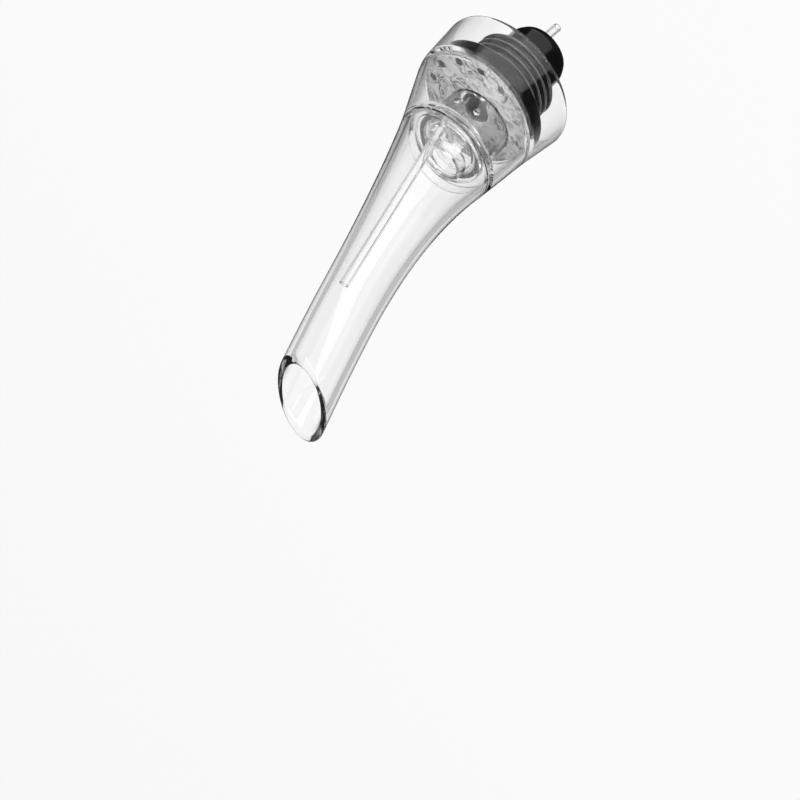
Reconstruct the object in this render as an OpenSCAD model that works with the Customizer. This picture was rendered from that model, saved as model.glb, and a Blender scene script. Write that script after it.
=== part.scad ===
// Wine aerator pourer that stands in the mouth of a bottle.
// Millimetres, +Z up along the bell, +X the way the spout bends.
// The origin is on the bell's axis at the plane where the bottle's lip meets the stopper's collar.

/* [Bell] */
// Outer diameter of the bell at its open rim
rim_diameter = 43; // [40:0.2:50]
// Outer diameter of the bell at the partition
seat_diameter = 40; // [39:0.2:46]
// Height of the skirt from the rim up to the partition
skirt_height = 14.4; // [9:0.1:18]
// Thickness of the bell's skirt
skirt_wall = 1.5; // [1.2:0.1:2]
// Thickness of the clear walls of the reducer and the spout
wall = 2; // [1.6:0.1:2.4]
// Width of the ledge that stops the core's flange
ledge_width = 1; // [0.6:0.1:1.4]
// Height of the ledge
ledge_height = 1.2; // [0.8:0.1:2]

/* [Reducer] */
// Height from the partition to the seam with the spout
reducer_height = 15.2; // [13:0.1:20]
// Outer diameter at the seam
seam_diameter = 30.9; // [29.4:0.1:34]
// Sideways shift of the seam from the bell's axis
seam_shift = 4.6; // [3:0.1:5]
// Depth of the socket that takes the spout's spigot
socket_depth = 2.6; // [1.5:0.1:4]

/* [Spout] */
// Height of the mouth's centre above the seam
spout_height = 73.4; // [60:0.2:90]
// Sideways reach of the mouth's centre from the bell's axis
mouth_reach = 34.3; // [30:0.1:40]
// Outer diameter of the spout at its mouth
mouth_diameter = 18.2; // [16:0.1:22]
// Lean of the spout at the seam, in degrees
seam_lean = 11.3; // [8:0.1:14]
// Lean of the spout at the mouth, in degrees
mouth_lean = 28.9; // [26:0.1:34]
// Rise of the slanted mouth towards its long lip, in degrees
mouth_slope = 16; // [0:0.5:20]
// Part of the spout, counted from the seam, that narrows
narrowing = 0.7; // [0.5:0.01:0.9]

/* [Core] */
// Thickness of the core's flange
flange_thickness = 1.4; // [1.2:0.1:2.4]
// Outer diameter of the stem that carries the stopper
stem_diameter = 12; // [11:0.1:13]
// Bore of the stem
stem_bore = 8.4; // [8:0.1:9.4]
// How far the stem shows below the plug
stem_tail = 1; // [0.5:0.1:4]
// Outer diameter of the wine chamber
chamber_diameter = 21; // [19:0.1:21.6]
// Wall of the wine chamber
chamber_wall = 1.5; // [1:0.1:2]
// Height of the wine chamber above the partition
chamber_height = 11.5; // [9:0.1:13]
// How far the wine chamber's axis stays behind the seam's centre
chamber_inset = 0.6; // [0:0.1:1]
// Diameter of the air holes in the flange
air_hole_diameter = 2.4; // [1.6:0.1:2.8]
// Number of air holes
air_hole_count = 5; // [3:1:7]
// Angle between neighbouring air holes, in degrees
air_hole_step = 28; // [22:1:34]
// Diameter of the side holes that let air into the wine chamber
side_hole_diameter = 1.8; // [1:0.1:2.4]
// Height of the side holes above the partition
side_hole_height = 5; // [3:0.1:7]
// Number of side holes
side_hole_count = 3; // [1:1:5]
// Angle between the side holes, in degrees
side_hole_step = 40; // [20:1:60]

/* [Flow plate] */
// Thickness of the flow plate
plate_thickness = 3; // [2.6:0.1:4]
// How far the plate's edge stands out past the wine chamber
plate_overhang = 0.8; // [0.4:0.1:1.2]
// Depth of the plate's spigot in the wine chamber
plate_spigot = 2.4; // [1.5:0.1:4]
// Wall of the plate's spigot
plate_spigot_wall = 1.2; // [1.1:0.1:1.6]
// Bore of the wine nozzle
nozzle_bore = 10; // [8:0.1:10.4]
// Wall of the wine nozzle
nozzle_wall = 1; // [0.8:0.1:1.4]
// Height of the wine nozzle above the plate
nozzle_height = 2.6; // [1.5:0.1:4]
// How far the nozzle's axis lies from the wine chamber's axis, towards the bend
nozzle_shift = 2.6; // [2:0.1:3]

/* [Air tubes] */
// Outer diameter of the air tubes
tube_diameter = 2.6; // [2.2:0.1:2.8]
// Bore of the air tubes
tube_bore = 1.6; // [1:0.1:1.8]
// Length of the front air tube
front_tube_length = 49; // [30:0.5:52]
// Part of the spout where the front air tube's line would meet the high wall
tube_aim = 0.65; // [0.55:0.01:0.75]
// Clear space between the front air tube and the high wall there
tube_wall_gap = 0.7; // [0.5:0.1:1.5]
// Depth of the sockets that take the tubes
tube_socket_depth = 2; // [1.5:0.1:3]
// Wall of the boss round the front tube's socket
boss_wall = 0.9; // [0.7:0.1:1.1]
// How far the rear air tube reaches past the stem
rear_tube_tail = 8; // [3:0.5:14]

/* [Stopper] */
// Diameter of the collar between its ribs
collar_diameter = 25.2; // [24:0.1:26.4]
// Height of the collar, from the bottle's lip to the gasket
collar_height = 12.3; // [10:0.1:16]
// How far each rib stands out
rib_height = 0.65; // [0.4:0.05:0.8]
// Number of ribs
rib_count = 4; // [3:1:6]
// Plain height of the collar between the gasket and the ribs
collar_land = 2.6; // [1:0.1:4]
// Diameter of the plug that goes into the bottle
plug_diameter = 19; // [17.5:0.1:21]
// Length of the plug
plug_length = 12; // [9:0.1:20]
// Height of the plug's sloped nose
nose_height = 2.5; // [1:0.1:4]
// How far the nose draws in
nose_inset = 1.2; // [0.5:0.1:1.6]

/* [Gasket] */
// Thickness of the gasket
gasket_thickness = 4.8; // [3:0.1:6]
// Radius of the gasket's outer corners
gasket_edge = 0.9; // [0.4:0.1:1.4]
// Clear space between the gasket and the bell
gasket_gap = 0.4; // [0.3:0.05:1]
// Diameter of the stopper's boss that centres the gasket
key_diameter = 18; // [16:0.1:20]
// Height of that boss
key_height = 1.2; // [0.8:0.1:1.6]

/* [Fits] */
// Radial clearance of parts that slide on each other
slide_gap = 0.05; // [0.02:0.01:0.1]
// Radial clearance of parts that are bonded
bond_gap = 0.05; // [0.02:0.01:0.1]
// Clearance round parts that only pass each other
pass_gap = 0.3; // [0.2:0.05:0.5]

/* [Hidden] */
$fn = 96;

clear = [0.86, 0.9, 0.93, 0.4];
black = [0.07, 0.07, 0.075];

// Length by which a cutting shape reaches past the surface that it opens
over = 1;
// Depth by which joined shapes of one piece reach into each other
bite = 0.5;
// Small step that keeps two surfaces of one piece from lying in each other
step = 0.05;

// Heights of the stack, from the bottle's lip upwards
flange_z = collar_height + gasket_thickness;
seat_z = flange_z + flange_thickness;
rim_z = seat_z - skirt_height;
seam_z = seat_z + reducer_height;
plate_z = seat_z + chamber_height;
stem_end_z = -plug_length - stem_tail;

// Radii of the bell
rim_radius = rim_diameter / 2;
seat_radius = seat_diameter / 2;
counter_radius = seat_radius - skirt_wall;
ledge_radius = counter_radius - ledge_width;
root_radius = counter_radius + skirt_wall / 4;
counter_z = flange_z - bite;
seam_radius = seam_diameter / 2;
socket_radius = seam_radius - wall / 2;
spigot_wall = wall / 2 - 2 * bond_gap - step;

// Core and flow plate
flange_radius = counter_radius - slide_gap;
stem_radius = stem_diameter / 2;
chamber_radius = chamber_diameter / 2;
chamber_bore = chamber_radius - chamber_wall;
chamber_x = seam_shift - chamber_inset;
plate_spigot_radius = chamber_bore - bond_gap;
nozzle_x = chamber_x + nozzle_shift;

// Air line: it leaves the stem's bore on the high side and bends in the middle of the flow plate
tube_radius = tube_diameter / 2;
tube_x = -(stem_bore / 2 - tube_radius - pass_gap);
elbow_z = plate_z + plate_thickness / 2;
elbow_width = (tube_bore + tube_diameter) / 2;
boss_length = plate_thickness / 2 + tube_socket_depth;

// Stopper, gasket and the ring of air holes between the collar and the gasket's edge
collar_radius = collar_diameter / 2;
crest_radius = collar_radius + rib_height;
plug_radius = plug_diameter / 2;
gasket_radius = counter_radius - gasket_gap;
air_circle = (crest_radius + gasket_radius - gasket_edge) / 2;

// Bent axis of the spout: a curve that leaves the seam at one lean and reaches the mouth at the other
seam_dir = [sin(seam_lean), cos(seam_lean)];
mouth_dir = [sin(mouth_lean), cos(mouth_lean)];
spout_start = [seam_shift, seam_z];
spout_end = [mouth_reach, seam_z + spout_height];
span = spout_end - spout_start;
bend_point = spout_start + seam_dir * (span.x * mouth_dir.y - span.y * mouth_dir.x)
    / (seam_dir.x * mouth_dir.y - seam_dir.y * mouth_dir.x);

// Facets of the bent shells
sides = 48;
steps = 34;

function axis_point(t) =
    spout_start * pow(1 - t, 2) + bend_point * 2 * t * (1 - t) + spout_end * pow(t, 2);
function axis_slope(t) = (bend_point - spout_start) * (1 - t) + (spout_end - bend_point) * t;
function lean(t) = atan2(axis_slope(t).x, axis_slope(t).y);

// Radius square to the axis: it narrows from the seam and then stays near the mouth's size
function narrowed(t) = t < narrowing ? pow(1 - t / narrowing, 2) : 0;
function tube_size(t) =
    mouth_diameter / 2 + (seam_radius * cos(seam_lean) - mouth_diameter / 2) * narrowed(t);

// A ring of the spout lies level at the seam and turns gradually into the slant of the mouth
function ring_slope(t) = mouth_slope * t;
function ring_stretch(t) = 1 + (1 / cos(seam_lean) - 1) * pow(1 - t, 2);
function spout_ring(t, inset) =
    let (c = axis_point(t), g = ring_slope(t), r = tube_size(t) - inset,
         along = r / cos(lean(t) + g), across = r * ring_stretch(t))
    [for (i = [0 : sides - 1])
        let (a = 360 * i / sides)
        [c.x + along * cos(a) * cos(g), across * sin(a), c.y + along * cos(a) * sin(g)]];
function level_ring(x, z, r) =
    [for (i = [0 : sides - 1])
        let (a = 360 * i / sides)
        [x + r * cos(a), r * sin(a), z]];

// Closed shell through a loop of rings: up the outside, down the inside, and back to the first ring
module ring_shell(rings) {
    count = len(rings);
    points = [for (ring = rings) each ring];
    faces = [for (k = [0 : count - 1], i = [0 : sides - 1])
        let (n = (k + 1) % count, j = (i + 1) % sides)
        each [[k * sides + i, n * sides + i, n * sides + j],
              [k * sides + i, n * sides + j, k * sides + j]]];
    polyhedron(points, faces);
}

// Plain pipe standing on z = 0
module pipe(outer, inner, height) {
    difference() {
        cylinder(r = outer, h = height);
        translate([0, 0, -over]) cylinder(r = inner, h = height + 2 * over);
    }
}

// Half section of a flat ring with round outer corners
module round_edged(inner, outer, low, high, edge) {
    translate([inner, low]) square([outer - inner - edge, high - low]);
    translate([inner, low + edge]) square([outer - inner, high - low - 2 * edge]);
    for (z = [low + edge, high - edge])
        translate([outer - edge, z]) circle(r = edge);
}

// Copies of a child round the bell's axis, spread evenly about the high side
module high_side(count, step) {
    for (i = [0 : count - 1])
        rotate([0, 0, 180 + (i - (count - 1) / 2) * step]) children();
}

// Path of the front air tube, with z = 0 at the elbow
module front_line() {
    c = axis_point(tube_aim);
    a = lean(tube_aim);
    off = tube_size(tube_aim) - wall - tube_radius - tube_wall_gap;
    aim = [c.x - off * cos(a), c.y + off * sin(a)];
    translate([tube_x, 0, elbow_z])
        rotate([0, atan2(aim.x - tube_x, aim.y - elbow_z), 0]) children();
}

// Half section of the skirt, with a round lip, the seat of the flange and its ledge
module skirt_section() {
    lip = skirt_wall / 2;
    polygon([
        [rim_radius - skirt_wall, rim_z + lip],
        [rim_radius, rim_z + lip],
        [seat_radius, seat_z],
        [root_radius, seat_z],
        [root_radius, seat_z + ledge_height],
        [ledge_radius, seat_z + ledge_height],
        [ledge_radius, seat_z],
        [counter_radius, seat_z],
        [counter_radius, counter_z]
    ]);
    translate([rim_radius - lip, rim_z + lip]) circle(r = lip);
}

module bell_housing() {
    // The reducer starts inside the skirt's own wall, so the two shapes are one
    root_z = seat_z - bite;
    neck_inner = ledge_radius + ledge_width / 2;
    color(clear) difference() {
        union() {
            rotate_extrude() skirt_section();
            ring_shell([
                level_ring(0, root_z, seat_radius - step),
                level_ring(0, seat_z + step, seat_radius - step),
                level_ring(seam_shift, seam_z, seam_radius),
                level_ring(seam_shift, seam_z, seam_radius - wall),
                level_ring(0, seat_z + ledge_height / 2, neck_inner),
                level_ring(0, root_z, root_radius)
            ]);
        }
        translate([seam_shift, 0, seam_z - socket_depth])
            cylinder(r = socket_radius, h = socket_depth + over);
    }
}

module spout() {
    outside = [for (k = [0 : steps]) spout_ring(k / steps, 0)];
    inside = [for (k = [0 : steps]) spout_ring(1 - k / steps, wall)];
    spigot_radius = socket_radius - bond_gap;
    color(clear) union() {
        ring_shell(concat(outside, inside));
        translate([seam_shift, 0, seam_z - socket_depth + bond_gap])
            pipe(spigot_radius, spigot_radius - spigot_wall, socket_depth + bite);
    }
}

module venturi_core() {
    color(clear) difference() {
        union() {
            translate([0, 0, flange_z]) cylinder(r = flange_radius, h = flange_thickness);
            translate([0, 0, stem_end_z]) cylinder(r = stem_radius, h = flange_z - stem_end_z + bite);
            translate([chamber_x, 0, seat_z - bite]) cylinder(r = chamber_radius, h = chamber_height + bite);
        }
        translate([0, 0, stem_end_z - over]) cylinder(d = stem_bore, h = seat_z - stem_end_z + 2 * over);
        translate([chamber_x, 0, seat_z]) cylinder(r = chamber_bore, h = chamber_height + over);
        high_side(air_hole_count, air_hole_step)
            translate([air_circle, 0, flange_z - over])
                cylinder(d = air_hole_diameter, h = flange_thickness + 2 * over);
        translate([chamber_x, 0, seat_z + side_hole_height])
            high_side(side_hole_count, side_hole_step)
                rotate([0, 90, 0]) cylinder(d = side_hole_diameter, h = chamber_radius + over);
    }
}

module flow_plate() {
    socket = tube_radius + bond_gap;
    color(clear) difference() {
        union() {
            translate([chamber_x, 0, plate_z])
                cylinder(r = chamber_radius + plate_overhang, h = plate_thickness);
            translate([chamber_x, 0, plate_z - plate_spigot])
                pipe(plate_spigot_radius, plate_spigot_radius - plate_spigot_wall, plate_spigot + bite);
            translate([nozzle_x, 0, plate_z + plate_thickness - bite])
                cylinder(r = nozzle_bore / 2 + nozzle_wall, h = nozzle_height + bite);
            front_line() cylinder(r = socket + boss_wall, h = boss_length + tube_socket_depth);
        }
        translate([nozzle_x, 0, plate_z - over])
            cylinder(d = nozzle_bore, h = plate_thickness + nozzle_height + boss_length + 2 * over);
        // Air line: sockets for the two tubes and the bent passage between them
        front_line() cylinder(d = tube_bore, h = boss_length + over);
        front_line() translate([0, 0, boss_length]) cylinder(r = socket, h = tube_socket_depth + over);
        translate([tube_x, 0, plate_z - over]) cylinder(d = elbow_width, h = elbow_z - plate_z + 2 * over);
        translate([tube_x, 0, plate_z - plate_spigot - over])
            cylinder(r = socket, h = plate_spigot + over + plate_thickness / 4);
    }
}

module front_air_tube() {
    color(clear) front_line() translate([0, 0, boss_length])
        pipe(tube_radius, tube_bore / 2, front_tube_length);
}

module rear_air_tube() {
    tube_end_z = stem_end_z - rear_tube_tail;
    color(clear) translate([tube_x, 0, tube_end_z])
        pipe(tube_radius, tube_bore / 2, plate_z + plate_thickness / 4 - tube_end_z);
}

module gasket() {
    color(black) difference() {
        rotate_extrude() round_edged(stem_radius + pass_gap, gasket_radius, collar_height, flange_z, gasket_edge);
        translate([0, 0, collar_height - over])
            cylinder(d = key_diameter + 2 * bond_gap, h = key_height + bond_gap + over);
        high_side(air_hole_count, air_hole_step)
            translate([air_circle, 0, collar_height - over])
                cylinder(d = air_hole_diameter, h = gasket_thickness + 2 * over);
    }
}

module stopper() {
    rib_pitch = (collar_height - collar_land) / rib_count;
    color(black) difference() {
        union() {
            cylinder(r = collar_radius, h = collar_height);
            rotate_extrude()
                for (i = [0 : rib_count - 1])
                    translate([collar_radius, (i + 0.5) * rib_pitch]) circle(r = rib_height);
            translate([0, 0, collar_height - bite]) cylinder(d = key_diameter, h = key_height + bite);
            translate([0, 0, nose_height - plug_length])
                cylinder(r = plug_radius, h = plug_length - nose_height + bite);
            translate([0, 0, -plug_length])
                cylinder(r1 = plug_radius - nose_inset, r2 = plug_radius, h = nose_height);
        }
        translate([0, 0, -plug_length - over])
            cylinder(r = stem_radius + slide_gap, h = plug_length + collar_height + key_height + 2 * over);
    }
}

bell_housing();
spout();
venturi_core();
flow_plate();
front_air_tube();
rear_air_tube();
gasket();
stopper();
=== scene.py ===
"""Wine aerator pourer: a clear bell, spout, core and air tubes on a black rubber stopper.

Sizes of the pieces are in millimetres in the model's own frame: +Z up along the bell, +X the way the
spout bends, and the origin on the bell's axis at the underside of the stopper's collar. Holes, bores and
sockets are given by their radius. The floor, the lamps and the camera are in metres.
"""

from math import atan2, cos, radians, sin

import bpy
from mathutils import Matrix, Vector


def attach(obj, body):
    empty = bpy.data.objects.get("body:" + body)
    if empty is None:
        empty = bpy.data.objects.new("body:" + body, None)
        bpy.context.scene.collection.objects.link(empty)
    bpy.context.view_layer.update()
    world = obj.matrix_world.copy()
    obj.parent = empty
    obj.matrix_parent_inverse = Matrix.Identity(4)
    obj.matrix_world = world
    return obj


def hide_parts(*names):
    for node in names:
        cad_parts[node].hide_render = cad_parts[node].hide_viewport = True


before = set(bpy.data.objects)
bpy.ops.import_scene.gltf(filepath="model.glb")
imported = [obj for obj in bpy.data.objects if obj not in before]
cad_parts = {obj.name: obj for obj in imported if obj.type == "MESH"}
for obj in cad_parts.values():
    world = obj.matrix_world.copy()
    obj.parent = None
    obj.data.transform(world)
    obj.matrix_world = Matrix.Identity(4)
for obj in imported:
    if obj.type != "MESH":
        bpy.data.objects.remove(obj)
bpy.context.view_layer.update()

MM = 0.001
UP = Vector((0, 0, 1))

# Points round a lofted ring, and round a drilled hole or a small boss
SIDES = 96
HOLE_SIDES = 48
# Steps over an eased corner, the skirt's lip, a rib and the gasket's round edge
EASE_STEPS = 5
LIP_STEPS = 10
RIB_STEPS = 10
EDGE_STEPS = 8
# Points nearer than this are merged, and edges blunter than this are smoothed
MERGE_DISTANCE = 0.001
SMOOTH_ANGLE = radians(32)
# How far a drill runs past a face, and how deep an added part is rooted
DRILL_PAST = 1.0
ROOT = 0.5

# Bell, with a counterbore and a ledge for the core's flange, and a neck above the ledge
RIM_Z = 4.1
RIM_RADIUS = 21.5
SEAT_Z = 18.5
SEAT_RADIUS = 20.0
SHOULDER_EASE = 1.8
SKIRT_WALL = 1.5
WALL = 2.0
COUNTERBORE_Z = 16.6
COUNTERBORE_RADIUS = SEAT_RADIUS - SKIRT_WALL
LEDGE_WIDTH = 1.0
LEDGE_RADIUS = COUNTERBORE_RADIUS - LEDGE_WIDTH
LEDGE_HEIGHT = 1.2
NECK_STEP = 0.5

# Seam between the bell and the spout
SEAM_Z = 33.7
SEAM_X = 4.6
SEAM_RADIUS = 15.45
SOCKET_DEPTH = 2.6
SOCKET_RADIUS = SEAM_RADIUS - WALL / 2
SPIGOT_WALL = 0.85
BOND_GAP = 0.05

# Spout
SPOUT_HEIGHT = 73.4
MOUTH_X = 34.3
MOUTH_Z = SEAM_Z + SPOUT_HEIGHT
MOUTH_RADIUS = 9.1
MOUTH_EASE = 0.85
SEAM_LEAN = radians(11.3)
MOUTH_LEAN = radians(28.9)
MOUTH_SLOPE = radians(16)
# Share of the spout's length over which it narrows
NARROWING = 0.7
SPOUT_STEPS = 60

# Core, with its rows of holes, whose steps are in degrees
FLANGE_Z = 17.1
FLANGE_RADIUS = 18.45
STEM_RADIUS = 6.0
STEM_BORE = 4.2
STEM_END_Z = -13.0
CHAMBER_X = 4.0
CHAMBER_RADIUS = 10.5
CHAMBER_BORE = 9.0
AIR_CIRCLE = 15.225
AIR_HOLE = 1.2
AIR_HOLE_COUNT = 5
AIR_HOLE_STEP = 28
SIDE_HOLE = 0.9
SIDE_HOLE_HEIGHT = 5.0
SIDE_HOLE_Z = SEAT_Z + SIDE_HOLE_HEIGHT
SIDE_HOLE_COUNT = 3
SIDE_HOLE_STEP = 40
# A face this near to level, and this near to the flange, belongs to the flange's flat sides
LEVEL_NORMAL = 0.9
FACE_MARGIN = 0.1

# Flow plate and air tubes
PLATE_Z = 30.0
PLATE_TOP_Z = 33.0
PLATE_RADIUS = 11.3
PLATE_SPIGOT_Z = 27.6
PLATE_SPIGOT_RADIUS = 8.95
PLATE_SPIGOT_BORE = 7.75
NOZZLE_X = 6.6
NOZZLE_Z = 35.6
NOZZLE_RADIUS = 6.0
NOZZLE_BORE = 5.0
NOZZLE_ROOT = 0.8
NOZZLE_DRILL = 12.0
TUBE_RADIUS = 1.3
TUBE_BORE = 0.8
TUBE_X = -2.6
TUBE_SOCKET = TUBE_RADIUS + BOND_GAP
ELBOW_Z = 31.5
ELBOW_BORE = 1.05
BOSS_WALL = 0.9
BOSS_RADIUS = TUBE_SOCKET + BOSS_WALL
# Where the front tube's socket begins and ends, measured from the elbow
BOSS_START = 3.5
BOSS_END = 5.5
FRONT_TUBE_LENGTH = 49.0
# Share of the spout's length at which the front tube comes closest to the wall, and the gap there
TUBE_AIM = 0.65
TUBE_WALL_GAP = 0.7
REAR_TUBE_LOW_Z = -21.0
REAR_TUBE_HIGH_Z = 30.75

# Gasket, and the boss of the stopper that centres it
GASKET_RADIUS = 18.1
GASKET_EDGE = 0.9
GASKET_BORE = 6.3
KEY_RADIUS = 9.0
KEY_Z = 13.5

# Stopper: its collar has a plain land above the ribs, and a painted highlight runs along the crests of the
# ribs
COLLAR_Z = 12.3
COLLAR_RADIUS = 12.6
COLLAR_LAND = 2.6
RIB_HEIGHT = 0.65
RIB_COUNT = 4
# Depth below the crests of the ribs over which their painted highlight fades in
CREST_HIGHLIGHT_DEPTH = 0.09
PLUG_RADIUS = 9.5
PLUG_Z = -12.0
NOSE_Z = -9.5
NOSE_RADIUS = 8.3
STOPPER_BORE = 6.05

# How strongly the acrylic bends light
ACRYLIC_IOR = 1.49

# Floor, and the share of its look that is plain white; the rest is lit paint, which takes the shadow
FLOOR_Z = -0.16
FLOOR_END = 6
FLOOR_SHADE = 0.9
WHITE_SHARE = 0.9
# Dark areas of the floor that only reflections show: their shade and the width of their soft edges
CARD_SHADE = 0.03
SOFT_EDGE = 0.03
# The area, between two corners, that outer surfaces mirror as pale, and how pale; the rest is dark there
PALE_AREA = ((-FLOOR_END, -0.09), (-0.07, FLOOR_END))
PALE_SHARE = 0.65
# Areas that show dark in reflections inside the clear pieces: two corners each, and how dark
INNER_CARDS = [
    ((-0.07, -0.03), (0.32, FLOOR_END), 1),
    ((-0.45, -0.275), (-0.05, -0.065), 0.9),
    ((-FLOOR_END, -FLOOR_END), (0.06, -0.275), 0.45),
    ((0.32, -0.1), (FLOOR_END, FLOOR_END), 0.45),
    ((-0.06, -0.75), (0.14, -0.42), 0.4),
]
# Strength of the sky as light, and what it loses in outer reflections and in those inside clear pieces
SKY_LIGHT = 0.4
OUTER_SKY_LOSS = 0.75
INNER_SKY_LOSS = 0.3

# Camera at the photograph's viewing angle: its place, and the directions of its right and its top
CAMERA_PLACE = Vector((-0.26664, 0.35436, 0.33459))
CAMERA_RIGHT = Vector((0.28034, 0.71976, -0.63511))
CAMERA_UP = Vector((-0.75205, -0.24648, -0.61128))
LENS = 87.75
SENSOR_WIDTH = 36

# Bounces that take rays through all the clear walls, and back and forth between them
CLEAR_BOUNCES = 32
GLOSS_BOUNCES = 16


def level(z, radius, x=0.0):
    """Level ring: its centre's x and z, its half-widths along X and across, and its slope."""
    return Vector((x, z, radius, radius, 0.0))


def square_ring(start, lean, distance, radius):
    """Ring square to a line that leans towards +X, at a distance along it."""
    x = start[0] + distance * sin(lean)
    z = start[1] + distance * cos(lean)
    return Vector((x, z, radius, radius, -lean))


def eased(corners):
    """Rings round a closed section. Each corner is a ring and the length beside it that is eased."""
    rings = []
    for place, (corner, ease) in enumerate(corners):
        if not ease:
            rings.append(corner)
            continue
        before = corners[place - 1][0]
        after = corners[(place + 1) % len(corners)][0]
        start = corner + (before - corner).normalized() * ease
        end = corner + (after - corner).normalized() * ease
        for step in range(EASE_STEPS + 1):
            t = step / EASE_STEPS
            rings.append(start * (1 - t) ** 2 + corner * 2 * t * (1 - t) + end * t ** 2)
    return rings


def arc(z, radius, size, first, last, steps):
    """Corners along an arc of a section: angle 0 points away from the axis and 90 upwards."""
    corners = []
    for step in range(steps + 1):
        angle = radians(first + (last - first) * step / steps)
        corners.append((level(z + size * sin(angle), radius + size * cos(angle)), 0))
    return corners


def shift_ring(before, after):
    """Takes the selected ring from one place, size and slope to the next."""
    centre = Vector((before[0], 0, before[1])) * MM
    travel = Vector((after[0] - before[0], 0, after[1] - before[1])) * MM
    stretch = (after[2] / before[2], after[3] / before[3], 1)
    bpy.ops.transform.rotate(value=-before[4], orient_axis="Y", center_override=centre)
    bpy.ops.transform.resize(value=stretch, center_override=centre)
    bpy.ops.transform.rotate(value=after[4], orient_axis="Y", center_override=centre)
    bpy.ops.transform.translate(value=travel)


def loft(name, rings):
    """Closed shell: each ring is extruded from the one before, and the last is bridged to the first."""
    bpy.ops.object.select_all(action="DESELECT")
    bpy.ops.mesh.primitive_circle_add(vertices=SIDES, radius=MM, fill_type="NOTHING")
    piece = bpy.context.object
    piece.name = name
    bpy.ops.object.mode_set(mode="EDIT")
    bpy.ops.mesh.select_mode(type="EDGE")
    bpy.ops.mesh.select_all(action="SELECT")
    shift_ring(level(0, 1), rings[0])
    for before, after in zip(rings, rings[1:]):
        bpy.ops.mesh.extrude_edges_move()
        shift_ring(before, after)
    bpy.ops.mesh.select_all(action="DESELECT")
    bpy.ops.mesh.select_non_manifold()
    bpy.ops.mesh.bridge_edge_loops()
    bpy.ops.mesh.select_all(action="SELECT")
    bpy.ops.mesh.normals_make_consistent(inside=False)
    bpy.ops.object.mode_set(mode="OBJECT")
    return piece


def rod(radius, start, direction, length, bevel=0.0):
    """Solid rod from a point along a direction, with its end edges beveled where asked."""
    way = Vector(direction).normalized()
    middle = (Vector(start) + way * length / 2) * MM
    bpy.ops.object.select_all(action="DESELECT")
    bpy.ops.mesh.primitive_cylinder_add(
        vertices=HOLE_SIDES if radius < NOZZLE_RADIUS else SIDES,
        radius=radius * MM,
        depth=length * MM,
        location=middle,
        rotation=way.to_track_quat("Z", "Y").to_euler(),
    )
    piece = bpy.context.object
    if bevel:
        bpy.ops.object.mode_set(mode="EDIT")
        bpy.ops.mesh.select_mode(type="FACE")
        bpy.ops.mesh.select_all(action="DESELECT")
        bpy.ops.mesh.select_face_by_sides(number=len(piece.data.vertices) // 2, type="EQUAL")
        bpy.ops.mesh.bevel(offset=bevel * MM, segments=EASE_STEPS)
        bpy.ops.object.mode_set(mode="OBJECT")
    bpy.ops.object.transform_apply(location=True, rotation=True, scale=True)
    return piece


def pick(piece):
    """Makes the piece the active one and the only one selected."""
    bpy.ops.object.select_all(action="DESELECT")
    piece.select_set(True)
    bpy.context.view_layer.objects.active = piece


def combine(piece, other, operation):
    """Adds the other solid to the piece or cuts it away, and deletes it."""
    pick(piece)
    change = piece.modifiers.new("Change", "BOOLEAN")
    change.operation = operation
    change.solver = "EXACT"
    change.object = other
    bpy.ops.object.modifier_apply(modifier=change.name)
    bpy.data.objects.remove(other)


def drill(piece, radius, start, direction, length):
    """Cuts a round hole from a point along a direction."""
    combine(piece, rod(radius, start, direction, length), "DIFFERENCE")


def high_side(count, step):
    """Level directions spread evenly about -X, the side that is uppermost when the spout pours."""
    angles = [radians(180 + (place - (count - 1) / 2) * step) for place in range(count)]
    return [Vector((cos(angle), sin(angle), 0)) for angle in angles]


def drill_air_holes(piece, low_z, high_z):
    """Row of upright air holes, which runs on through the flange and the gasket."""
    for way in high_side(AIR_HOLE_COUNT, AIR_HOLE_STEP):
        start = way * AIR_CIRCLE + Vector((0, 0, low_z - DRILL_PAST))
        drill(piece, AIR_HOLE, start, UP, high_z - low_z + 2 * DRILL_PAST)


def settle(piece, body, node, finish):
    """Merges doubled points, smooths the piece, gives it its finish and puts it in the node's place."""
    pick(piece)
    bpy.ops.object.mode_set(mode="EDIT")
    bpy.ops.mesh.select_all(action="SELECT")
    bpy.ops.mesh.remove_doubles(threshold=MERGE_DISTANCE * MM)
    bpy.ops.mesh.dissolve_degenerate(threshold=MERGE_DISTANCE * MM)
    bpy.ops.object.mode_set(mode="OBJECT")
    bpy.ops.object.shade_smooth_by_angle(angle=SMOOTH_ANGLE)
    weight = piece.modifiers.new("Weight", "WEIGHTED_NORMAL")
    weight.keep_sharp = True
    bpy.ops.object.modifier_apply(modifier=weight.name)
    piece.data.materials.clear()
    piece.data.materials.append(finish)
    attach(piece, body)
    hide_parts(node)


# Bent axis of the spout: it leaves the seam at one lean and reaches the mouth at the other
SPOUT_START = Vector((SEAM_X, SEAM_Z))
SPOUT_END = Vector((MOUTH_X, MOUTH_Z))
SEAM_WAY = Vector((sin(SEAM_LEAN), cos(SEAM_LEAN)))
MOUTH_WAY = Vector((sin(MOUTH_LEAN), cos(MOUTH_LEAN)))
SPOUT_SPAN = SPOUT_END - SPOUT_START
BEND = SPOUT_START + SEAM_WAY * SPOUT_SPAN.cross(MOUTH_WAY) / SEAM_WAY.cross(MOUTH_WAY)


def axis_point(t):
    """Point of the spout's axis, from the seam at 0 to the mouth at 1, as x and z."""
    return SPOUT_START * (1 - t) ** 2 + BEND * 2 * t * (1 - t) + SPOUT_END * t ** 2


def axis_lean(t):
    """Lean of the spout's axis towards +X."""
    way = (BEND - SPOUT_START) * (1 - t) + (SPOUT_END - BEND) * t
    return atan2(way.x, way.y)


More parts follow.
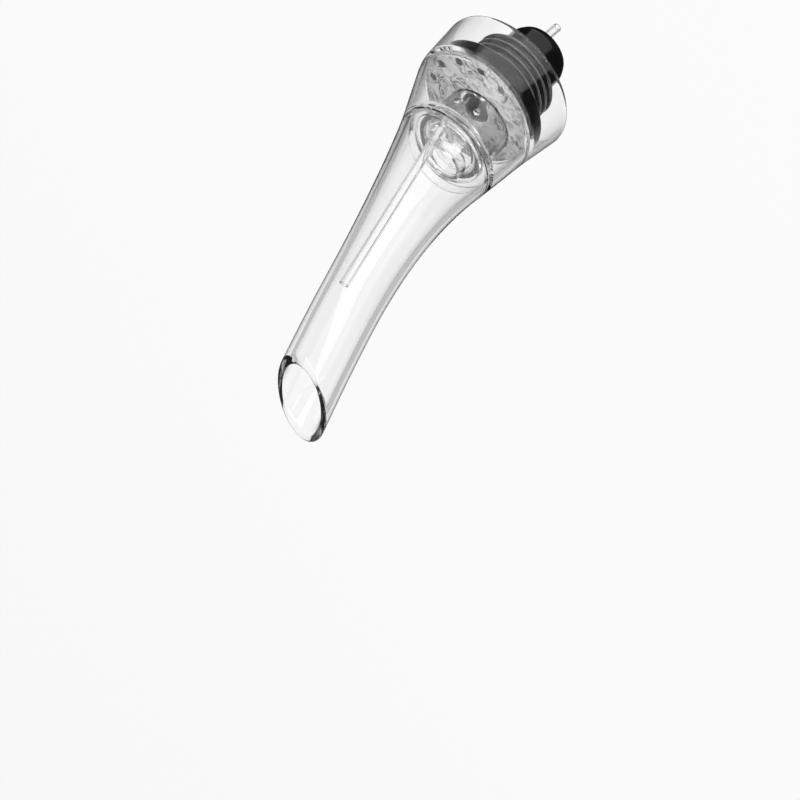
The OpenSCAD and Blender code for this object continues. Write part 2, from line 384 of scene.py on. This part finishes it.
def tube_size(t):
    """Radius square to the axis: it narrows from the seam and then keeps the mouth's size."""
    narrowed = max(0, 1 - t / NARROWING) ** 2
    return MOUTH_RADIUS + (SEAM_RADIUS * cos(SEAM_LEAN) - MOUTH_RADIUS) * narrowed


def spout_ring(t, inset):
    """Ring of the spout, level at the seam and turned into the slant of the mouth by degrees."""
    centre = axis_point(t)
    slope = MOUTH_SLOPE * t
    radius = tube_size(t) - inset
    along = radius / cos(axis_lean(t) + slope)
    across = radius * (1 + (1 / cos(SEAM_LEAN) - 1) * (1 - t) ** 2)
    return Vector((centre.x, centre.y, along, across, slope))


def make_bell():
    """Skirt with a round lip, counterbore and ledge for the flange, and the leaning neck to the socket."""
    lip = SKIRT_WALL / 2
    ledge_z = SEAT_Z + LEDGE_HEIGHT
    socket_z = SEAM_Z - SOCKET_DEPTH
    neck_low_z = SEAT_Z + LEDGE_HEIGHT / 2
    neck_low = level(neck_low_z, LEDGE_RADIUS + NECK_STEP)
    neck_high = level(SEAM_Z, SEAM_RADIUS - WALL, SEAM_X)

    def neck(z):
        return neck_low.lerp(neck_high, (z - neck_low_z) / (SEAM_Z - neck_low_z))

    return loft("clear_bell", eased([
        (level(SEAM_Z, SEAM_RADIUS, SEAM_X), 0.3),
        (level(SEAT_Z, SEAT_RADIUS), SHOULDER_EASE),
        *arc(RIM_Z + lip, RIM_RADIUS - lip, lip, 0, -180, LIP_STEPS),
        (level(COUNTERBORE_Z, COUNTERBORE_RADIUS), 0.3),
        (level(SEAT_Z, COUNTERBORE_RADIUS), 0.15),
        (level(SEAT_Z, LEDGE_RADIUS), 0.2),
        (level(ledge_z, LEDGE_RADIUS), 0.2),
        (neck(ledge_z), 0),
        (neck(socket_z), 0.1),
        (level(socket_z, SOCKET_RADIUS, SEAM_X), 0.1),
        (level(SEAM_Z, SOCKET_RADIUS, SEAM_X), 0.2),
    ]))


def make_spout():
    """Bent tapering tube with a rounded slanted mouth and a spigot for the bell's socket."""
    outside = [spout_ring(step / SPOUT_STEPS, 0) for step in range(SPOUT_STEPS + 1)]
    inside = [spout_ring(1 - step / SPOUT_STEPS, WALL) for step in range(SPOUT_STEPS + 1)]
    spigot_z = SEAM_Z - SOCKET_DEPTH + BOND_GAP
    spigot_radius = SOCKET_RADIUS - BOND_GAP
    return loft("clear_spout", eased([
        (outside[0], 0.3),
        *[(ring, 0) for ring in outside[1:-1]],
        (outside[-1], MOUTH_EASE),
        (inside[0], MOUTH_EASE),
        *[(ring, 0) for ring in inside[1:]],
        (level(spigot_z, spigot_radius - SPIGOT_WALL, SEAM_X), 0.2),
        (level(spigot_z, spigot_radius, SEAM_X), 0.2),
        (level(SEAM_Z, spigot_radius, SEAM_X), 0.1),
    ]))


def make_core():
    """Flange with the air holes, the hollow stem and the off-centre mixing chamber with its side holes."""
    piece = loft("core_moulding", eased([
        (level(STEM_END_Z, STEM_RADIUS), 0.5),
        (level(FLANGE_Z, STEM_RADIUS), 0.4),
        (level(FLANGE_Z, FLANGE_RADIUS), 0.25),
        (level(SEAT_Z, FLANGE_RADIUS), 0.25),
        (level(SEAT_Z, STEM_BORE), 0.5),
        (level(STEM_END_Z, STEM_BORE), 0.4),
    ]))
    chamber = loft("chamber", eased([
        (level(SEAT_Z - ROOT, CHAMBER_RADIUS, CHAMBER_X), 0),
        (level(PLATE_Z, CHAMBER_RADIUS, CHAMBER_X), 0.2),
        (level(PLATE_Z, CHAMBER_BORE, CHAMBER_X), 0.2),
        (level(SEAT_Z - ROOT, CHAMBER_BORE, CHAMBER_X), 0),
    ]))
    combine(piece, chamber, "UNION")
    drill_air_holes(piece, FLANGE_Z, SEAT_Z)
    for way in high_side(SIDE_HOLE_COUNT, SIDE_HOLE_STEP):
        start = Vector((CHAMBER_X, 0, SIDE_HOLE_Z)) + way * CHAMBER_BORE / 2
        drill(piece, SIDE_HOLE, start, way, CHAMBER_RADIUS)
    return piece


def haze_flange(core, finish):
    """Gives the flange's flat faces their textured skin."""
    core.data.materials.append(finish)
    for face in core.data.polygons:
        is_level = abs(face.normal.z) > LEVEL_NORMAL
        on_flange = FLANGE_Z - FACE_MARGIN < face.center.z / MM < SEAT_Z + FACE_MARGIN
        if is_level and on_flange and face.center.xy.length / MM > STEM_RADIUS:
            face.material_index = 1


def front_lean():
    """Lean of the front air tube, whose line comes close to the spout's high wall."""
    centre = axis_point(TUBE_AIM)
    lean = axis_lean(TUBE_AIM)
    off = tube_size(TUBE_AIM) - WALL - TUBE_RADIUS - TUBE_WALL_GAP
    return atan2(centre.x - off * cos(lean) - TUBE_X, centre.y + off * sin(lean) - ELBOW_Z)


FRONT_LEAN = front_lean()
FRONT_WAY = Vector((sin(FRONT_LEAN), 0, cos(FRONT_LEAN)))
ELBOW = Vector((TUBE_X, 0, ELBOW_Z))
FRONT_SOCKET = ELBOW + FRONT_WAY * BOSS_START


def make_flow_plate():
    """Lid of the mixing chamber, with the pouring nozzle and the bent passage between the air tubes."""
    piece = rod(PLATE_RADIUS, (CHAMBER_X, 0, PLATE_Z), UP, PLATE_TOP_Z - PLATE_Z, bevel=0.3)
    piece.name = "nozzle_plate"
    spigot = loft("spigot", eased([
        (level(PLATE_SPIGOT_Z, PLATE_SPIGOT_RADIUS, CHAMBER_X), 0.15),
        (level(PLATE_Z + ROOT, PLATE_SPIGOT_RADIUS, CHAMBER_X), 0),
        (level(PLATE_Z + ROOT, PLATE_SPIGOT_BORE, CHAMBER_X), 0),
        (level(PLATE_SPIGOT_Z, PLATE_SPIGOT_BORE, CHAMBER_X), 0.15),
    ]))
    combine(piece, spigot, "UNION")
    nozzle_start = (NOZZLE_X, 0, PLATE_TOP_Z - NOZZLE_ROOT)
    nozzle = rod(NOZZLE_RADIUS, nozzle_start, UP, NOZZLE_Z - PLATE_TOP_Z + NOZZLE_ROOT, bevel=0.25)
    combine(piece, nozzle, "UNION")
    combine(piece, rod(BOSS_RADIUS, ELBOW, FRONT_WAY, BOSS_END, bevel=0.2), "UNION")
    drill_z = PLATE_Z - DRILL_PAST
    drill(piece, NOZZLE_BORE, (NOZZLE_X, 0, drill_z), UP, NOZZLE_DRILL)
    drill(piece, TUBE_BORE, ELBOW, FRONT_WAY, BOSS_START + DRILL_PAST)
    drill(piece, TUBE_SOCKET, FRONT_SOCKET, FRONT_WAY, BOSS_END - BOSS_START + 2 * DRILL_PAST)
    drill(piece, ELBOW_BORE, (TUBE_X, 0, drill_z), UP, ELBOW_Z - PLATE_Z + 2 * DRILL_PAST)
    socket_low_z = PLATE_SPIGOT_Z - DRILL_PAST
    drill(piece, TUBE_SOCKET, (TUBE_X, 0, socket_low_z), UP, REAR_TUBE_HIGH_Z - socket_low_z)
    return piece


def make_tube(name, start, lean, length):
    """Thin air tube with rounded ends."""
    point = (start.x, start.z)
    return loft(name, eased([
        (square_ring(point, lean, 0, TUBE_RADIUS), 0.15),
        (square_ring(point, lean, length, TUBE_RADIUS), 0.2),
        (square_ring(point, lean, length, TUBE_BORE), 0.2),
        (square_ring(point, lean, 0, TUBE_BORE), 0.15),
    ]))


def make_gasket():
    """Rubber ring with round corners, the recess for the stopper's boss and the air holes."""
    edge_radius = GASKET_RADIUS - GASKET_EDGE
    recess_radius = KEY_RADIUS + BOND_GAP
    recess_z = KEY_Z + BOND_GAP
    piece = loft("flange_gasket", eased([
        (level(COLLAR_Z, recess_radius), 0.2),
        *arc(COLLAR_Z + GASKET_EDGE, edge_radius, GASKET_EDGE, -90, 0, EDGE_STEPS),
        *arc(FLANGE_Z - GASKET_EDGE, edge_radius, GASKET_EDGE, 0, 90, EDGE_STEPS),
        (level(FLANGE_Z, GASKET_BORE), 0.2),
        (level(recess_z, GASKET_BORE), 0.1),
        (level(recess_z, recess_radius), 0.1),
    ]))
    drill_air_holes(piece, COLLAR_Z, FLANGE_Z)
    return piece


def make_stopper():
    """Ribbed collar with a boss above it and a plain plug below, bored for the core's stem."""
    pitch = (COLLAR_Z - COLLAR_LAND) / RIB_COUNT
    ribs = []
    for rib in range(RIB_COUNT):
        ribs += arc((rib + 0.5) * pitch, COLLAR_RADIUS, RIB_HEIGHT, -90, 90, RIB_STEPS)
    return loft("ribbed_stopper", eased([
        (level(PLUG_Z, NOSE_RADIUS), 0.6),
        (level(NOSE_Z, PLUG_RADIUS), 0.8),
        (level(0, PLUG_RADIUS), 0.4),
        (level(0, COLLAR_RADIUS), 0.3),
        *ribs,
        (level(COLLAR_Z, COLLAR_RADIUS), 0.4),
        (level(COLLAR_Z, KEY_RADIUS), 0.1),
        (level(KEY_Z, KEY_RADIUS), 0.25),
        (level(KEY_Z, STOPPER_BORE), 0.2),
        (level(PLUG_Z, STOPPER_BORE), 0.3),
    ]))


def grey(shade):
    """Opaque colour of one shade of grey, from 0, black, to 1, white."""
    return (shade, shade, shade, 1)


class Value:
    """A shader socket that stands in Python sums and products."""

    def __init__(self, tree, socket):
        self.tree = tree
        self.socket = socket

    def work_out(self, operation, first, second):
        """Adds a node that works on two values or numbers, and gives its result."""
        node = self.tree.nodes.new("ShaderNodeMath")
        node.operation = operation
        for place, term in enumerate((first, second)):
            if isinstance(term, Value):
                self.tree.links.new(term.socket, node.inputs[place])
            else:
                node.inputs[place].default_value = term
        return Value(self.tree, node.outputs[0])

    def __add__(self, other):
        return self.work_out("ADD", self, other)

    def __radd__(self, other):
        return self.work_out("ADD", other, self)

    def __sub__(self, other):
        return self.work_out("SUBTRACT", self, other)

    def __rsub__(self, other):
        return self.work_out("SUBTRACT", other, self)

    def __mul__(self, other):
        return self.work_out("MULTIPLY", self, other)

    def __rmul__(self, other):
        return self.work_out("MULTIPLY", other, self)

    def __pow__(self, other):
        return self.work_out("POWER", self, other)


class Finish:
    """The nodes of one material or of the world."""

    def __init__(self, owner):
        owner.use_nodes = True
        self.owner = owner
        self.tree = owner.node_tree
        self.tree.nodes.clear()

    def node(self, kind, settings, sockets, output=0):
        """Adds a node: its settings first, then the value or the link of each named socket."""
        made = self.tree.nodes.new(kind)
        for name, value in settings.items():
            if name == "stops":
                ramp = made.color_ramp.elements
                while len(ramp) < len(value):
                    ramp.new(1)
                for element, (place, shade) in zip(ramp, value):
                    element.position = place
                    element.color = grey(shade)
            else:
                setattr(made, name, value)
        for name, value in sockets.items():
            if isinstance(value, Value):
                self.tree.links.new(value.socket, made.inputs[name])
            else:
                made.inputs[name].default_value = value
        return Value(self.tree, made.outputs[output]) if made.outputs else None

    def object_place(self):
        """Place on the piece, in its own coordinates."""
        return self.node("ShaderNodeTexCoord", {}, {}, "Object")

    def across(self, place):
        """The x and the y of a place."""
        return [self.node("ShaderNodeSeparateXYZ", {}, {"Vector": place}, axis) for axis in "XY"]

    def stretched(self, place, scale):
        """Place scaled along each axis, so that a pattern runs longer where the scale is small."""
        return self.node("ShaderNodeMapping", {}, {"Vector": place, "Scale": scale})

    def noise(self, place, scale, detail, distortion=0.0):
        """Cloudy pattern whose scale is about the number of its marks in a metre."""
        sockets = {"Vector": place, "Scale": scale, "Detail": detail, "Distortion": distortion}
        return self.node("ShaderNodeTexNoise", {}, sockets)

    def ramp(self, value, stops):
        """Shade of grey that follows a value through the stops."""
        return self.node("ShaderNodeValToRGB", {"stops": stops}, {"Fac": value})

    def smooth_step(self, value, low, high):
        """0 below the low value, 1 above the high one, and smooth between them."""
        limits = {"Value": value, "From Min": low, "From Max": high}
        return self.node("ShaderNodeMapRange", {"interpolation_type": "SMOOTHSTEP"}, limits)

    def blend(self, factor, first, second):
        """Colour between two colours; sockets 0, 6 and 7 of the node take the factor and the colours."""
        return self.node("ShaderNodeMix", {"data_type": "RGBA"}, {0: factor, 6: first, 7: second}, 2)

    def clamp(self, value):
        """The value held between 0 and 1."""
        return self.node("ShaderNodeClamp", {}, {"Value": value})

    def bump(self, height, strength, depth):
        """Relief from a height, with its depth in millimetres."""
        sockets = {"Height": height, "Strength": strength, "Distance": depth * MM}
        return self.node("ShaderNodeBump", {}, sockets)

    def surface(self, sockets):
        """Ends the material with one shader, and gives the material."""
        made = self.node("ShaderNodeBsdfPrincipled", {}, sockets)
        self.node("ShaderNodeOutputMaterial", {}, {"Surface": made})
        return self.owner


def edge_shade_painted(finish):
    """Clear where the surface is seen square on, and painted grey shade at glancing angles, for the dark
    edges of the clear walls.
    """
    facing = finish.node("ShaderNodeLayerWeight", {}, {"Blend": 0.5}, "Facing")
    return finish.ramp(facing, [(0.42, 1.0), (0.6, 0.8), (0.75, 0.42), (0.9, 0.16)])


def clear_acrylic():
    """Clear moulded acrylic: faint flow lines of the moulding, handling haze, and painted grey shade
    towards its glancing edges.
    """
    finish = Finish(bpy.data.materials.new("clear_acrylic"))
    place = finish.object_place()
    flow = finish.noise(finish.stretched(place, (1, 1, 0.25)), scale=190, detail=2)
    smudge = finish.ramp(finish.noise(place, scale=85, detail=4), [(0.52, 0), (0.75, 1)])
    return finish.surface({
        # Painted shade: the colour greys towards glancing edges, for dark outlines
        "Base Color": edge_shade_painted(finish),
        "Roughness": 0.012 + smudge * 0.035,
        "IOR": ACRYLIC_IOR,
        "Transmission Weight": 1.0,
        "Normal": finish.bump(flow, strength=0.06, depth=0.4),
    })


def hazy_acrylic():
    """The same acrylic with a textured, milky skin: broken, curled flow marks and fine bubbles."""
    finish = Finish(bpy.data.materials.new("hazy_acrylic"))
    place = finish.object_place()
    curls = finish.noise(place, scale=125, detail=1.2, distortion=2.0)
    lines = finish.ramp(curls, [(0.4, 0), (0.455, 1), (0.5, 0), (0.57, 0), (0.61, 1), (0.66, 0)])
    patches = finish.ramp(finish.noise(place, scale=210, detail=1), [(0.44, 0), (0.6, 1)])
    strokes = lines * patches
    cells = finish.node("ShaderNodeTexVoronoi", {"feature": "SMOOTH_F1"}, {"Vector": place, "Scale": 520})
    bubbles = finish.ramp(cells, [(0.12, 0), (0.4, 1)])
    return finish.surface({
        "Base Color": finish.blend(strokes, grey(0.96), grey(0.3)),
        "Roughness": 0.12 + curls * 0.3,
        "IOR": ACRYLIC_IOR,
        "Transmission Weight": 0.06,
        "Normal": finish.bump(bubbles + curls * 2 - strokes, strength=0.8, depth=0.7),
    })


def tube_acrylic():
    """Clear drawn tube with faint lines along its length."""
    finish = Finish(bpy.data.materials.new("tube_acrylic"))
    place = finish.object_place()
    lines = finish.noise(finish.stretched(place, (1, 1, 0.02)), scale=3200, detail=2)
    return finish.surface({
        # Painted shade: the tube's colour greys towards its glancing edges, for dark outlines
        "Base Color": edge_shade_painted(finish),
        "Roughness": 0.02 + lines * 0.03,
        "IOR": ACRYLIC_IOR,
        "Transmission Weight": 1.0,
        "Normal": finish.bump(lines, strength=0.05, depth=0.05),
    })


def black_rubber(name, highlight_crest_radius=None):
    """Black moulded rubber: fine grain, paler dust where it is handled, and a painted highlight along the
    crests of the ribs.
    """
    finish = Finish(bpy.data.materials.new(name))
    place = finish.object_place()
    grain = finish.noise(place, scale=2600, detail=3)
    # One cloudy pattern sets both the paler dust and the patches of the painted highlight on the ribs
    dust_and_highlight_noise = finish.noise(place, scale=140, detail=4)
    dust = finish.ramp(dust_and_highlight_noise, [(0.45, 0), (0.8, 1)])
    shade = finish.blend(dust, (0.004, 0.004, 0.0043, 1), (0.013, 0.013, 0.0134, 1))
    # Painted highlight: a pale band along the crests of the ribs, broken into patches, in place of glints
    # of light on them
    if highlight_crest_radius:
        x, y = finish.across(place)
        radius = (x * x + y * y) ** 0.5
        crest_highlight = finish.smooth_step(radius, (highlight_crest_radius - CREST_HIGHLIGHT_DEPTH) * MM, highlight_crest_radius * MM)
        highlight_patches = dust_and_highlight_noise * 2 - 0.3
        shade = finish.blend(crest_highlight * highlight_patches, shade, grey(0.2))
    return finish.surface({
        "Base Color": shade,
        "Roughness": 0.1 + dust * 0.12 + grain * 0.05,
        "Specular IOR Level": 0.65,
        "Normal": finish.bump(grain, strength=0.12, depth=0.1),
    })


ACRYLIC = clear_acrylic()
HAZY_ACRYLIC = hazy_acrylic()
TUBE_ACRYLIC = tube_acrylic()
RUBBER = black_rubber("black_rubber")
# The stopper's rubber has the painted highlight along its rib crests
RIBBED_RUBBER = black_rubber("ribbed_rubber", COLLAR_RADIUS + RIB_HEIGHT)

settle(make_bell(), "housing_body", "bell_housing", ACRYLIC)
settle(make_spout(), "housing_body", "spout", ACRYLIC)
core = make_core()
settle(core, "core_body", "venturi_core", ACRYLIC)
haze_flange(core, HAZY_ACRYLIC)
settle(make_flow_plate(), "core_body", "flow_plate", ACRYLIC)
front_tube = make_tube("front_tube", FRONT_SOCKET, FRONT_LEAN, FRONT_TUBE_LENGTH)
settle(front_tube, "core_body", "front_air_tube", TUBE_ACRYLIC)
rear_start = Vector((TUBE_X, 0, REAR_TUBE_LOW_Z))
rear_tube = make_tube("rear_tube", rear_start, 0, REAR_TUBE_HIGH_Z - REAR_TUBE_LOW_Z)
settle(rear_tube, "core_body", "rear_air_tube", TUBE_ACRYLIC)
settle(make_gasket(), "stopper_body", "gasket", RUBBER)
settle(make_stopper(), "stopper_body", "stopper", RIBBED_RUBBER)


def light_path(finish, name):
    """What is known of the ray that meets the surface, by its name."""
    return finish.node("ShaderNodeLightPath", {}, {}, name)


def background_rays(finish):
    """1 for the rays that see the background straight, in a reflection or through the clear pieces."""
    seen = light_path(finish, "Is Camera Ray")
    mirrored = light_path(finish, "Is Glossy Ray")
    through = light_path(finish, "Is Transmission Ray")
    return finish.clamp(seen + mirrored + through)


def mirrored_rays(finish):
    """1 for rays thrown back by an outer surface, and 1 for rays thrown back inside the clear pieces."""
    thrown_back = finish.clamp(light_path(finish, "Glossy Depth"))
    inside = finish.clamp(light_path(finish, "Transmission Depth"))
    return thrown_back * (1 - inside), thrown_back * inside


def rise(finish, value, start):
    """0 before the start and 1 after it, with a soft edge."""
    return finish.smooth_step(value, start - SOFT_EDGE / 2, start + SOFT_EDGE / 2)


def card(finish, low, high):
    """1 on a soft-edged rectangle of the floor between two corners, and 0 off it."""
    x, y = finish.across(finish.object_place())
    along = rise(finish, x, low[0]) * (1 - rise(finish, x, high[0]))
    return along * rise(finish, y, low[1]) * (1 - rise(finish, y, high[1]))


def make_floor():
    """Pale floor that reads as white and takes the shadow; only its reflections are part dark."""
    bpy.ops.object.select_all(action="DESELECT")
    bpy.ops.mesh.primitive_plane_add(size=2 * FLOOR_END, location=(0, 0, FLOOR_Z))
    floor = bpy.context.object
    floor.name = "floor"
    finish = Finish(bpy.data.materials.new("pale_floor"))
    paint = finish.node("ShaderNodeBsdfDiffuse", {}, {"Color": grey(FLOOR_SHADE)})
    white = finish.node("ShaderNodeEmission", {}, {"Color": grey(1), "Strength": 1.0})
    dark = finish.node("ShaderNodeBsdfDiffuse", {}, {"Color": grey(CARD_SHADE)})
    outer, inner = mirrored_rays(finish)
    shades = [card(finish, low, high) * darkness for low, high, darkness in INNER_CARDS]
    cards = outer * (1 - card(finish, *PALE_AREA) * PALE_SHARE) + inner * sum(shades)
    whiteness = background_rays(finish) * WHITE_SHARE
    pale = finish.node("ShaderNodeMixShader", {}, {0: whiteness, 1: paint, 2: white})
    mixed = finish.node("ShaderNodeMixShader", {}, {0: cards, 1: pale, 2: dark})
    finish.node("ShaderNodeOutputMaterial", {}, {"Surface": mixed})
    floor.data.materials.append(finish.owner)


def make_world():
    """White as background, soft grey as light, and dim in reflections."""
    world = bpy.data.worlds.new("studio")
    bpy.context.scene.world = world
    finish = Finish(world)
    background = background_rays(finish)
    outer, inner = mirrored_rays(finish)
    seen = background * (1 - outer * OUTER_SKY_LOSS - inner * INNER_SKY_LOSS)
    strength = seen + (1 - background) * SKY_LIGHT
    sky = finish.node("ShaderNodeBackground", {}, {"Color": grey(1), "Strength": strength})
    finish.node("ShaderNodeOutputWorld", {}, {"Surface": sky})


def make_lamp(name, place, target, size, power):
    """Soft rectangular lamp that points from its place to the target."""
    way = Vector(place) - Vector(target)
    turn = way.to_track_quat("Z", "Y").to_euler()
    bpy.ops.object.light_add(type="AREA", location=place, rotation=turn)
    lamp = bpy.context.object
    lamp.name = name
    lamp.data.shape = "RECTANGLE"
    lamp.data.size, lamp.data.size_y = size
    lamp.data.energy = power
    return lamp


def make_camera():
    """Camera at the photograph's viewing angle."""
    bpy.ops.object.camera_add()
    camera = bpy.context.object
    camera.data.lens = LENS
    camera.data.sensor_width = SENSOR_WIDTH
    back = CAMERA_RIGHT.cross(CAMERA_UP)
    turn = Matrix((CAMERA_RIGHT, CAMERA_UP, back)).transposed()
    camera.matrix_world = Matrix.Translation(CAMERA_PLACE) @ turn.to_4x4()
    return camera


make_floor()
make_world()
# The key lamp is a long strip, for the bright bands along the spout and the rubber
make_lamp("key_lamp", place=(-0.64, 0.45, 0.56), target=(0, 0, 0.01), size=(1.2, 0.2), power=4.6)
# The side lamp shines lower on the same side, and isn't seen through the clear walls
side_lamp = make_lamp(
    "side_lamp", place=(-0.76, 0.44, 0.21), target=(0, 0, 0.02), size=(1.15, 0.2), power=1.7)
side_lamp.visible_transmission = False
# The fill lamp is broad and stands on the other side
make_lamp("fill_lamp", place=(0.7, 0.5, 0.6), target=(0, 0, 0.04), size=(0.8, 0.8), power=3)

scene = bpy.context.scene
scene.camera = make_camera()
scene.view_settings.view_transform = "Standard"
scene.cycles.max_bounces = CLEAR_BOUNCES
scene.cycles.transmission_bounces = CLEAR_BOUNCES
scene.cycles.glossy_bounces = GLOSS_BOUNCES
